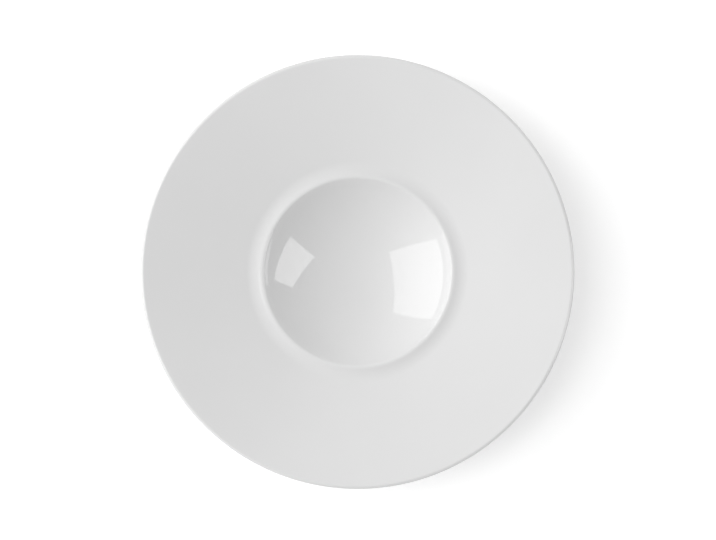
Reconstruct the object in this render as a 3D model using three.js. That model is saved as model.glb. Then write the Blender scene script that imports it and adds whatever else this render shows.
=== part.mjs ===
// A deep plate in glazed porcelain: a wide sloping rim, a raised collar and a round well on a foot ring.
// Millimetres and degrees, +Z up. The plate stands on z = 0 and its axis is Z.
import * as THREE from "three";
import { mergeGeometries, mergeVertices } from "three/addons/utils/BufferGeometryUtils.js";

// Driving dimensions, over the finished glaze
const plateDiameter = 300;
const rimSlope = 13.5; // upper face of the rim
const rimTaper = 1.1; // its underside is this much steeper, so the rim thickens towards the well
const edgeRadius = 2.2; // full round of the outer edge
const collarDiameter = 133.6; // crest of the collar round the well
const collarHeight = 0.9; // crest above the valley behind it
const lipRadius = 2.6; // crest rolling over into the well
const shoulderRadius = 6; // crest falling away to the valley
const valleyRadius = 19;
const wellDepth = 28; // crest to the bottom of the well
const wellWall = 5.5;
const baseClearance = 3; // lowest point of the base above the table
const undersideFillet = 16; // rim into belly
const footDiameter = 92; // middle of the band that touches the table
const footBand = 2.6; // flat width of that band
const footRounding = 0.8;
const footDraft = 10;
const footOuterFillet = 4;
const footInnerFillet = 4;
const bareWall = 0.9; // height wiped free of glaze on both walls of the foot, above its rounding
const glazeThickness = 0.25;

// Facets
const segments = 60; // round the axis
const chordError = 0.12; // largest gap between a rounded stretch and its facets
const weldDistance = 0.001;

const quarterTurn = Math.PI / 2;
const rimTilt = THREE.MathUtils.degToRad(rimSlope);
const undersideTilt = THREE.MathUtils.degToRad(rimSlope + rimTaper);
const draft = THREE.MathUtils.degToRad(footDraft);

// The half section lies in a plane with x outwards from the axis and y up
const point = (x, y) => new THREE.Vector2(x, y);
const heading = (angle) => point(Math.cos(angle), Math.sin(angle));
const moved = (from, along, distance) => from.clone().addScaledVector(along, distance);
const bearing = (from, to) => Math.atan2(to.y - from.y, to.x - from.x);
const arc = (centre, radius, start, end) => ({ centre, radius, start, end });

// First point on a line that comes within reach of a target
function firstWithin(from, along, target, reach) {
  const gap = target.clone().sub(from);
  const ahead = gap.dot(along);
  return moved(from, along, ahead - Math.sqrt(ahead ** 2 - gap.lengthSq() + reach ** 2));
}

// Well and collar: the ball of the well runs into the lip, which meets the softer shoulder at the crest,
// and that runs into the valley
const wellFloor = baseClearance + wellWall;
const crest = point(collarDiameter / 2, wellFloor + wellDepth);
const wellRadius = (crest.x ** 2 + wellDepth ** 2) / (2 * wellDepth) - lipRadius;
const bellyRadius = wellRadius + wellWall;
const wellCentre = point(0, wellFloor + wellRadius);
const lipCentre = point(crest.x, crest.y - lipRadius);
const shoulderCentre = point(crest.x, crest.y - shoulderRadius);
const shoulderToValley = shoulderRadius + valleyRadius;
const valleyRise = shoulderToValley - collarHeight;
const valleyRun = Math.sqrt(shoulderToValley ** 2 - valleyRise ** 2);
const valleyCentre = point(shoulderCentre.x + valleyRun, shoulderCentre.y + valleyRise);

// Rim: a cone from the valley out to the round edge
const rimOutwards = heading(rimTilt);
const rimNormal = heading(rimTilt + quarterTurn);
const edgeTrack = moved(valleyCentre, rimNormal, -valleyRadius - edgeRadius);
const edgeX = plateDiameter / 2 - edgeRadius;
const edgeCentre = moved(edgeTrack, rimOutwards, (edgeX - edgeTrack.x) / rimOutwards.x);

// Underside: a second cone from the edge back to the belly, with a fillet where they meet
const undersideNormal = heading(undersideTilt - quarterTurn);
const undersideInwards = heading(undersideTilt).negate();
const undersideCentre = firstWithin(
  moved(edgeCentre, undersideNormal, edgeRadius + undersideFillet),
  undersideInwards,
  wellCentre,
  bellyRadius + undersideFillet,
);

// One wall of the foot ring: side is 1 for the outer wall and -1 for the inner one
function footWall(side, fillet) {
  const rounding = point((footDiameter + side * footBand) / 2, footRounding);
  const outwards = point(side * Math.cos(draft), -Math.sin(draft));
  const upwards = point(side * Math.sin(draft), Math.cos(draft));
  const wipedLine = moved(moved(rounding, outwards, footRounding), upwards, bareWall);
  const filletTrack = moved(rounding, outwards, footRounding + glazeThickness + fillet);
  const centre = firstWithin(filletTrack, upwards, wellCentre, bellyRadius + fillet);
  return { rounding, outwards, wipedLine, centre };
}
const outerWall = footWall(1, footOuterFillet);
const innerWall = footWall(-1, footInnerFillet);

// The half section as rounded stretches, in order from the middle of the base out to the edge and back over
// the face. A stretch that turns left bulges out of the clay, and one that turns right is a hollow.
const baseArcs = [
  arc(wellCentre, bellyRadius, -quarterTurn, bearing(wellCentre, innerWall.centre)),
  arc(innerWall.centre, footInnerFillet, bearing(innerWall.centre, wellCentre), draft),
];
const footArcs = [
  arc(innerWall.rounding, footRounding, draft - 2 * quarterTurn, -quarterTurn),
  arc(outerWall.rounding, footRounding, -quarterTurn, -draft),
];
const undersideArcs = [
  arc(outerWall.centre, footOuterFillet, 2 * quarterTurn - draft, bearing(outerWall.centre, wellCentre)),
  arc(wellCentre, bellyRadius, bearing(wellCentre, outerWall.centre), bearing(wellCentre, undersideCentre)),
  arc(undersideCentre, undersideFillet, bearing(undersideCentre, wellCentre), undersideTilt + quarterTurn),
];
const faceArcs = [
  arc(edgeCentre, edgeRadius, undersideTilt - quarterTurn, rimTilt + quarterTurn),
  arc(valleyCentre, valleyRadius, rimTilt - quarterTurn, bearing(valleyCentre, shoulderCentre)),
  arc(shoulderCentre, shoulderRadius, bearing(shoulderCentre, valleyCentre), quarterTurn),
  arc(lipCentre, lipRadius, quarterTurn, bearing(lipCentre, wellCentre)),
  arc(wellCentre, wellRadius, bearing(wellCentre, lipCentre), -quarterTurn),
];

// Points along a run of arcs, at a depth under the surface that the arcs describe
function trace(arcs, depth) {
  const points = arcs.flatMap(({ centre, radius, start, end }) => {
    const turn = Math.sign(end - start);
    const steps = Math.ceil(Math.abs(end - start) / (2 * Math.acos(1 - chordError / radius)));
    const curve = new THREE.ArcCurve(centre.x, centre.y, radius - turn * depth, start, end, turn < 0);
    return curve.getPoints(steps);
  });
  return points.filter((each, i) => i === 0 || each.distanceTo(points[i - 1]) > weldDistance);
}

// The two glazed runs of the section, from the axis to the foot and from the foot to the axis
const wiped = (wall, depth) => moved(wall.wipedLine, wall.outwards, glazeThickness - depth);
const basePath = (depth) => [...trace(baseArcs, depth), wiped(innerWall, depth)];
const facePath = (depth) => [wiped(outerWall, depth), ...trace([...undersideArcs, ...faceArcs], depth)];

// A path turned round the Z axis
function turned(path) {
  const surface = new THREE.LatheGeometry(path, segments).rotateX(quarterTurn);
  return surface.deleteAttribute("normal").deleteAttribute("uv");
}

// The same surface with its faces turned over
function turnedOver(path) {
  const surface = turned(path);
  const corners = surface.index.array;
  for (let i = 0; i < corners.length; i += 3) {
    [corners[i], corners[i + 2]] = [corners[i + 2], corners[i]];
  }
  return surface;
}

function closedBody(...surfaces) {
  const body = mergeVertices(mergeGeometries(surfaces), weldDistance);
  body.computeVertexNormals();
  return body;
}

const plate = new THREE.Group();

function addPiece(name, geometry, finish) {
  const piece = new THREE.Mesh(geometry, new THREE.MeshStandardMaterial(finish));
  piece.name = name;
  plate.add(piece);
}

const bisque = { color: 0xe6e5e2, roughness: 0.6, metalness: 0 };
const glossGlaze = { color: 0xf2f2f0, roughness: 0.08, metalness: 0 };

// The fired clay in one piece: it lies one coat under the finished surface, and only its foot band is bare
const clayBase = basePath(glazeThickness);
const clayFace = facePath(glazeThickness);
addPiece("porcelain_body", closedBody(turned([...clayBase, ...trace(footArcs, 0), ...clayFace])), bisque);

// The coat over face, edge and underside, down to the wiped line on the outer wall of the foot
const outerCoat = turned([clayFace[0], ...facePath(0)]);
addPiece("outer_glaze", closedBody(outerCoat, turnedOver(clayFace)), glossGlaze);

// The coat inside the foot, which the bare band parts from the other
const baseCoat = turned([...basePath(0), clayBase.at(-1)]);
addPiece("base_glaze", closedBody(baseCoat, turnedOver(clayBase)), glossGlaze);

export default plate;
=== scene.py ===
import math

import bmesh
import bpy
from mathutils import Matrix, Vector


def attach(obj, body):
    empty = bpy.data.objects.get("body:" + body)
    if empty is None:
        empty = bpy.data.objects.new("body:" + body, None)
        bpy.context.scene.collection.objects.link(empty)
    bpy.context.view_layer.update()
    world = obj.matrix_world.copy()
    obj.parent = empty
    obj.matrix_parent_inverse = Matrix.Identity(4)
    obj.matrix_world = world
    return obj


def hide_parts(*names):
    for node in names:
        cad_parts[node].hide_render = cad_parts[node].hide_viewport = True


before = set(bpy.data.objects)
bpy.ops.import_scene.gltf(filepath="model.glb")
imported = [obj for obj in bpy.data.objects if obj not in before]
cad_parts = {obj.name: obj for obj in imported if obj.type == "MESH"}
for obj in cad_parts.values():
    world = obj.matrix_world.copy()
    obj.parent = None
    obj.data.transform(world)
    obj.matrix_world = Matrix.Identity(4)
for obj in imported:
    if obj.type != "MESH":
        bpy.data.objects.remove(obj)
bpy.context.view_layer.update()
print("frame loaded:", sorted(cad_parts))

# The plate's half section, in metres and degrees, measured over the glaze
section = {
    "plateDiameter": 0.300,
    "rimSlope": 13.5,
    "rimTaper": 1.1,          # the underside of the rim is this much steeper
    "edgeRadius": 0.0022,
    "collarDiameter": 0.1336, # across the crest
    "collarHeight": 0.0009,
    "lipRadius": 0.0026,      # crest rolling over into the well
    "shoulderRadius": 0.006,  # crest falling away to the valley
    "valleyRadius": 0.019,
    "wellDepth": 0.028,
    "wellWall": 0.0055,
    "baseClearance": 0.003,
    "undersideFillet": 0.016,
    "footDiameter": 0.092,
    "footBand": 0.0026,
    "footRounding": 0.0008,
    "footDraft": 10.0,
    "footOuterFillet": 0.004,
    "footInnerFillet": 0.004,
    "bareWall": 0.0009,       # wiped height above the rounding of the foot
    "glazeThickness": 0.00025,
}

quarterTurn = math.pi / 2
weldDistance = 2e-6
largestStray = 0.2            # no chord leaves its arc by more than this share of the radius


def heading(angle):
    return Vector((math.cos(angle), math.sin(angle)))


def bearing(start, end):
    return math.atan2(end.y - start.y, end.x - start.x)


# first point on a line that comes within reach of a target
def firstWithin(start, along, target, reach):
    gap = target - start
    ahead = gap.dot(along)
    return start + along * (ahead - math.sqrt(ahead ** 2 - gap.length_squared + reach ** 2))


# one rounded stretch of the section, seen from the base outwards
def stretch(centre, radius, start, end):
    bulge = 1 if end > start else -1
    return {"centre": centre, "radius": radius, "start": start, "end": end, "bulge": bulge}


def backwards(stretches):
    return [{**s, "start": s["end"], "end": s["start"]} for s in reversed(stretches)]


# centres of all the roundings, from the well outwards and then back along the underside to the foot
def layOutSection(size):
    rimTilt = math.radians(size["rimSlope"])
    undersideTilt = math.radians(size["rimSlope"] + size["rimTaper"])
    draft = math.radians(size["footDraft"])
    glaze = size["glazeThickness"]

    wellFloor = size["baseClearance"] + size["wellWall"]
    crest = Vector((size["collarDiameter"] / 2, wellFloor + size["wellDepth"]))
    wellRadius = (crest.x ** 2 + size["wellDepth"] ** 2) / (2 * size["wellDepth"]) - size["lipRadius"]
    bellyRadius = wellRadius + size["wellWall"]
    well = Vector((0, wellFloor + wellRadius))
    lip = crest - Vector((0, size["lipRadius"]))
    shoulder = crest - Vector((0, size["shoulderRadius"]))
    shoulderToValley = size["shoulderRadius"] + size["valleyRadius"]
    valleyRise = shoulderToValley - size["collarHeight"]
    valley = shoulder + Vector((math.sqrt(shoulderToValley ** 2 - valleyRise ** 2), valleyRise))

    edgeTrack = valley - heading(rimTilt + quarterTurn) * (size["valleyRadius"] + size["edgeRadius"])
    rimRun = (size["plateDiameter"] / 2 - size["edgeRadius"] - edgeTrack.x) / math.cos(rimTilt)
    edge = edgeTrack + heading(rimTilt) * rimRun
    edgeToFillet = size["edgeRadius"] + size["undersideFillet"]
    wellToFillet = bellyRadius + size["undersideFillet"]
    filletTrack = edge + heading(undersideTilt - quarterTurn) * edgeToFillet
    underside = firstWithin(filletTrack, -heading(undersideTilt), well, wellToFillet)

    # side is 1 for the outer wall of the foot and -1 for the inner one
    def footWall(side, fillet):
        rounding = Vector(((size["footDiameter"] + side * size["footBand"]) / 2, size["footRounding"]))
        outwards = Vector((side * math.cos(draft), -math.sin(draft)))
        upwards = Vector((side * math.sin(draft), math.cos(draft)))
        wiped = rounding + outwards * size["footRounding"] + upwards * size["bareWall"]
        track = rounding + outwards * (size["footRounding"] + glaze + fillet)
        return {
            "rounding": rounding,
            "bead": wiped + outwards * glaze / 2,  # middle of the glaze where it ends
            "fillet": firstWithin(track, upwards, well, bellyRadius + fillet),
        }

    outer = footWall(1, size["footOuterFillet"])
    inner = footWall(-1, size["footInnerFillet"])
    return {
        "base": [
            stretch(well, bellyRadius, -quarterTurn, bearing(well, inner["fillet"])),
            stretch(inner["fillet"], size["footInnerFillet"], bearing(inner["fillet"], well), draft),
        ],
        "foot": [
            stretch(inner["rounding"], size["footRounding"], draft - math.pi, -quarterTurn),
            stretch(outer["rounding"], size["footRounding"], -quarterTurn, -draft),
        ],
        "face": [
            stretch(outer["fillet"], size["footOuterFillet"],
                    math.pi - draft, bearing(outer["fillet"], well)),
            stretch(well, bellyRadius, bearing(well, outer["fillet"]), bearing(well, underside)),
            stretch(underside, size["undersideFillet"],
                    bearing(underside, well), undersideTilt + quarterTurn),
            stretch(edge, size["edgeRadius"], undersideTilt - quarterTurn, rimTilt + quarterTurn),
            stretch(valley, size["valleyRadius"], rimTilt - quarterTurn, bearing(valley, shoulder)),
            stretch(shoulder, size["shoulderRadius"], bearing(shoulder, valley), quarterTurn),
            stretch(lip, size["lipRadius"], quarterTurn, bearing(lip, well)),
            stretch(well, wellRadius, bearing(well, lip), -quarterTurn),
        ],
        "outerBead": stretch(outer["bead"], glaze / 2, -draft, -draft - math.pi),
        "innerBead": stretch(inner["bead"], glaze / 2, draft - math.pi, draft),
    }


# draws the stretches as one run of edges in the XZ plane, each at a depth under the glaze
def drawRun(bm, stretches, depth, chordError):
    for each in stretches:
        radius = each["radius"] - each["bulge"] * depth
        spot = each["centre"] + heading(each["start"]) * radius
        bm.verts.ensure_lookup_table()
        if len(bm.verts) == 0:
            tip = bm.verts.new((spot.x, 0, spot.y))
        else:
            tip = bmesh.ops.extrude_vert_indiv(bm, verts=[bm.verts[-1]])["verts"][0]
            tip.co = (spot.x, 0, spot.y)
        sweep = each["end"] - each["start"]
        steps = math.ceil(abs(sweep) / (2 * math.acos(1 - min(chordError / radius, largestStray))))
        bmesh.ops.spin(bm, geom=[tip], cent=(each["centre"].x, 0, each["centre"].y), axis=(0, -1, 0),
                       angle=sweep, steps=steps)


# turns the drawn section round the axis and closes it
def turnOnWheel(bm, name, material, turnSteps):
    bmesh.ops.remove_doubles(bm, verts=bm.verts[:], dist=weldDistance)
    bmesh.ops.spin(bm, geom=bm.verts[:] + bm.edges[:], cent=(0, 0, 0), axis=(0, 0, 1),
                   angle=2 * math.pi, steps=turnSteps, use_merge=True)
    bmesh.ops.remove_doubles(bm, verts=bm.verts[:], dist=weldDistance)
    bmesh.ops.recalc_face_normals(bm, faces=bm.faces[:])
    for face in bm.faces:
        face.smooth = True
    mesh = bpy.data.meshes.new(name)
    bm.to_mesh(mesh)
    bm.free()
    mesh.materials.append(material)
    piece = bpy.data.objects.new(name, mesh)
    bpy.context.scene.collection.objects.link(piece)
    print(name, "turned:", len(mesh.polygons), "faces")
    return piece


# adds a node and sets its values by socket name
def addNode(tree, kind, **values):
    node = tree.nodes.new(kind)
    for name, value in values.items():
        node.inputs[name.replace("_", " ")].default_value = value
    return node


def newMaterial(name):
    material = bpy.data.materials.new(name)
    material.use_nodes = True
    tree = material.node_tree
    tree.nodes.clear()
    shader = tree.nodes.new("ShaderNodeBsdfPrincipled")
    output = tree.nodes.new("ShaderNodeOutputMaterial")
    tree.links.new(shader.outputs["BSDF"], output.inputs["Surface"])
    return material, tree, shader


# slow drift of tone that firing leaves on porcelain: a colour that is a little darker in patches
def makeKilnTone():
    group = bpy.data.node_groups.new("kilnTone", "ShaderNodeTree")
    for name, kind in (("Tone", "Color"), ("Shade", "Color"), ("Patch Scale", "Float")):
        group.interface.new_socket(name, in_out="INPUT", socket_type="NodeSocket" + kind)
    group.interface.new_socket("Color", in_out="OUTPUT", socket_type="NodeSocketColor")
    ins = group.nodes.new("NodeGroupInput")
    outs = group.nodes.new("NodeGroupOutput")
    coords = group.nodes.new("ShaderNodeTexCoord")
    patches = addNode(group, "ShaderNodeTexNoise", Detail=3.0, Roughness=0.45)
    spread = addNode(group, "ShaderNodeMapRange", From_Min=0.35, From_Max=0.65)
    mix = group.nodes.new("ShaderNodeMix")
    mix.data_type = "RGBA"
    link = group.links.new
    link(coords.outputs["Object"], patches.inputs["Vector"])
    link(ins.outputs["Patch Scale"], patches.inputs["Scale"])
    link(patches.outputs["Fac"], spread.inputs["Value"])
    link(spread.outputs["Result"], mix.inputs["Factor"])
    link(ins.outputs["Tone"], mix.inputs["A"])
    link(ins.outputs["Shade"], mix.inputs["B"])
    link(mix.outputs["Result"], outs.inputs["Color"])
    return group


kilnTone = makeKilnTone()


def placeKilnTone(tree, finish):
    node = tree.nodes.new("ShaderNodeGroup")
    node.node_tree = kilnTone
    node.inputs["Tone"].default_value = (*finish["tone"], 1)
    node.inputs["Shade"].default_value = (*finish["shade"], 1)
    node.inputs["Patch Scale"].default_value = finish["patchScale"]
    return node


glossGlaze = {
    "tone": (0.86, 0.86, 0.86),
    "shade": (0.845, 0.845, 0.845),
    "patchScale": 14.0,
    "roughness": (0.03, 0.06),   # least and most
    "dullScale": 90.0,           # patches where the gloss is duller
    "ior": 1.62,
    "rippleScale": 38.0,         # long waves in the poured glaze, per metre
    "rippleHeight": 0.00002,
    "peelScale": 420.0,          # fine skin of the glaze
    "peelHeight": 0.0000008,
}


def makeGlossGlaze(finish):
    material, tree, shader = newMaterial("glossGlaze")
    link = tree.links.new
    coords = tree.nodes.new("ShaderNodeTexCoord")
    tone = placeKilnTone(tree, finish)
    link(tone.outputs["Color"], shader.inputs["Base Color"])

    cloud = addNode(tree, "ShaderNodeTexNoise", Scale=finish["dullScale"], Detail=4.0)
    least, most = finish["roughness"]
    dull = addNode(tree, "ShaderNodeMapRange", To_Min=least, To_Max=most)
    link(coords.outputs["Object"], cloud.inputs["Vector"])
    link(cloud.outputs["Fac"], dull.inputs["Value"])
    link(dull.outputs["Result"], shader.inputs["Roughness"])

    ripple = addNode(tree, "ShaderNodeTexNoise", Scale=finish["rippleScale"], Detail=1.0)
    peel = addNode(tree, "ShaderNodeTexNoise", Scale=finish["peelScale"], Detail=1.0)
    rippleBump = addNode(tree, "ShaderNodeBump", Strength=1.0, Distance=finish["rippleHeight"])
    peelBump = addNode(tree, "ShaderNodeBump", Strength=1.0, Distance=finish["peelHeight"])
    for noise, bump in ((ripple, rippleBump), (peel, peelBump)):
        link(coords.outputs["Object"], noise.inputs["Vector"])
        link(noise.outputs["Fac"], bump.inputs["Height"])
    link(rippleBump.outputs["Normal"], peelBump.inputs["Normal"])
    link(peelBump.outputs["Normal"], shader.inputs["Normal"])

    shader.inputs["IOR"].default_value = finish["ior"]
    return material


bareFoot = {
    "tone": (0.66, 0.655, 0.64),
    "shade": (0.58, 0.575, 0.56),
    "patchScale": 160.0,
    "roughness": 0.62,
    "grainScale": 2600.0,        # ground grain of the bare clay
    "grainHeight": 0.00003,
    "grainStrength": 0.6,
}


def makeBareFoot(finish):
    material, tree, shader = newMaterial("bareFoot")
    link = tree.links.new
    coords = tree.nodes.new("ShaderNodeTexCoord")
    tone = placeKilnTone(tree, finish)
    link(tone.outputs["Color"], shader.inputs["Base Color"])
    grain = addNode(tree, "ShaderNodeTexNoise", Scale=finish["grainScale"], Detail=3.0)
    bump = addNode(tree, "ShaderNodeBump", Strength=finish["grainStrength"],
                   Distance=finish["grainHeight"])
    link(coords.outputs["Object"], grain.inputs["Vector"])
    link(grain.outputs["Fac"], bump.inputs["Height"])
    link(bump.outputs["Normal"], shader.inputs["Normal"])
    shader.inputs["Roughness"].default_value = finish["roughness"]
    return material


glazeMaterial = makeGlossGlaze(glossGlaze)
footMaterial = makeBareFoot(bareFoot)
print("finishes made")

# how finely the pieces are turned: chords under the glaze can be coarser than those that show
turning = {"steps": 240, "shownChord": 0.000004, "hiddenChord": 0.00002}

runs = layOutSection(section)
coat = section["glazeThickness"]


def makePorcelainBody():
    bm = bmesh.new()
    drawRun(bm, runs["base"], coat, turning["hiddenChord"])
    drawRun(bm, runs["foot"], 0, turning["shownChord"])
    drawRun(bm, runs["face"], coat, turning["hiddenChord"])
    return turnOnWheel(bm, "porcelainBody", footMaterial, turning["steps"])


# over the face, round the edge and down to the foot, with a bead where it ends, and back under itself
def makeOuterGlaze():
    bm = bmesh.new()
    drawRun(bm, backwards(runs["face"]), 0, turning["shownChord"])
    drawRun(bm, [runs["outerBead"]], 0, turning["shownChord"])
    drawRun(bm, runs["face"], coat, turning["hiddenChord"])
    return turnOnWheel(bm, "outerGlaze", glazeMaterial, turning["steps"])


def makeBaseGlaze():
    bm = bmesh.new()
    drawRun(bm, runs["base"], 0, turning["shownChord"])
    drawRun(bm, [runs["innerBead"]], 0, turning["shownChord"])
    drawRun(bm, backwards(runs["base"]), coat, turning["hiddenChord"])
    return turnOnWheel(bm, "baseGlaze", glazeMaterial, turning["steps"])


for makePiece, node, slot in (
    (makePorcelainBody, "porcelain_body", "porcelain"),
    (makeOuterGlaze, "outer_glaze", "glaze"),
    (makeBaseGlaze, "base_glaze", "glaze"),
):
    piece = makePiece()
    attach(piece, "root")
    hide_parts(node)
print("plate in place")

studio = {
    "floorSize": 2.4,
    "floorTone": (0.9, 0.9, 0.9),
    "floorRoughness": 0.8,
    "floorGloss": 0.1,
    "floorGlow": 0.28,           # the table is exposed past white
    "leftWall": 0.966,           # light of the white room, which fades from one side to the other
    "rightWall": 0.18,
    "fades": (0.953, -0.304, 0.0),
    "skySeen": 1.3,              # the same room behind the plate in low views
}


def makeFloor():
    bm = bmesh.new()
    bmesh.ops.create_grid(bm, x_segments=1, y_segments=1, size=studio["floorSize"] / 2)
    mesh = bpy.data.meshes.new("floor")
    bm.to_mesh(mesh)
    bm.free()
    material, tree, shader = newMaterial("paleTable")
    shader.inputs["Base Color"].default_value = (*studio["floorTone"], 1)
    shader.inputs["Roughness"].default_value = studio["floorRoughness"]
    shader.inputs["Specular IOR Level"].default_value = studio["floorGloss"]
    shader.inputs["Emission Color"].default_value = (1, 1, 1, 1)
    path = tree.nodes.new("ShaderNodeLightPath")
    glow = addNode(tree, "ShaderNodeMapRange", To_Max=studio["floorGlow"])
    tree.links.new(path.outputs["Is Camera Ray"], glow.inputs["Value"])
    tree.links.new(glow.outputs["Result"], shader.inputs["Emission Strength"])
    mesh.materials.append(material)
    floor = bpy.data.objects.new("floor", mesh)
    bpy.context.scene.collection.objects.link(floor)
    return floor


floor = makeFloor()


def makeRoomLight():
    world = bpy.data.worlds.new("whiteRoom")
    bpy.context.scene.world = world
    world.use_nodes = True
    tree = world.node_tree
    tree.nodes.clear()
    link = tree.links.new
    coords = tree.nodes.new("ShaderNodeTexCoord")
    across = tree.nodes.new("ShaderNodeVectorMath")
    across.operation = "DOT_PRODUCT"
    across.inputs[1].default_value = studio["fades"]
    side = addNode(tree, "ShaderNodeMapRange", From_Min=-1.0,
                   To_Min=studio["leftWall"], To_Max=studio["rightWall"])
    path = tree.nodes.new("ShaderNodeLightPath")
    level = addNode(tree, "ShaderNodeMapRange", To_Max=studio["skySeen"])
    room = addNode(tree, "ShaderNodeBackground", Color=(1, 1, 1, 1))
    output = tree.nodes.new("ShaderNodeOutputWorld")
    link(coords.outputs["Generated"], across.inputs[0])
    link(across.outputs["Value"], side.inputs["Value"])
    link(side.outputs["Result"], level.inputs["To Min"])
    link(path.outputs["Is Camera Ray"], level.inputs["Value"])
    link(level.outputs["Result"], room.inputs["Strength"])
    link(room.outputs["Background"], output.inputs["Surface"])


makeRoomLight()

# soft boxes: centre, width and height in metres, the way that they face, and the radiance of the cloth
softBoxes = {
    "keyBox": {
        "centre": (-2.814, 0.666, 1.972),
        "facing": (0.858, 0.14, -0.494),
        "size": (3.85, 3.03),
        "radiance": 1.6,
    },
    "sideBox": {
        "centre": (3.07, -0.13, 1.68),
        "facing": (-0.538, 0.717, -0.442),
        "size": (2.62, 1.53),
        "radiance": 2.495,
    },
    "tableBox": {
        "centre": (-1.045, 0.11, 2.81),
        "facing": (0.348, -0.037, -0.937),
        "size": (1.09, 1.09),
        "radiance": 3.39,
    },
}


def hangSoftBox(name, box):
    width, height = box["size"]
    data = bpy.data.lights.new(name, "AREA")
    data.shape = "RECTANGLE"
    data.size = width
    data.size_y = height
    data.energy = math.pi * width * height * box["radiance"]
    lamp = bpy.data.objects.new(name, data)
    bpy.context.scene.collection.objects.link(lamp)
    lamp.location = box["centre"]
    lamp.rotation_euler = Vector(box["facing"]).to_track_quat("-Z", "Y").to_euler()
    lamp.visible_camera = False
    return lamp


lamps = {name: hangSoftBox(name, box) for name, box in softBoxes.items()}


# keeps a lamp off everything but one object, which still takes the shadows of the rest
def lightOnly(lamp, lit):
    receivers = bpy.data.collections.new(lit.name + "Only")
    receivers.objects.link(lit)
    lamp.light_linking.receiver_collection = receivers


lightOnly(lamps["tableBox"], floor)
print("studio lit")

# straight down over the plate, at the distance where its edge fills the frame as in the photograph
shot = {
    "imageWidth": 716,           # pixels
    "plateRadius": 217.0,
    "plateLower": 2.0,           # plate's middle below the image's middle
    "plateLeft": 0.5,
    "lens": 100.0,               # millimetres on a 36 mm sensor
    "sensor": 36.0,
    "farthest": 20.0,            # metres that the camera sees
}


def placeCamera():
    data = bpy.data.cameras.new("overhead")
    data.lens = shot["lens"]
    data.sensor_width = shot["sensor"]
    camera = bpy.data.objects.new("overhead", data)
    bpy.context.scene.collection.objects.link(camera)
    edge = runs["face"][3]["centre"]
    pixel = section["plateDiameter"] / 2 / shot["plateRadius"]
    distance = pixel * shot["imageWidth"] * shot["lens"] / shot["sensor"]
    camera.location = (shot["plateLeft"] * pixel, shot["plateLower"] * pixel, edge.y + distance)
    data.clip_end = shot["farthest"]
    bpy.context.scene.camera = camera


placeCamera()
bpy.context.scene.view_settings.view_transform = "Standard"
print("camera placed")
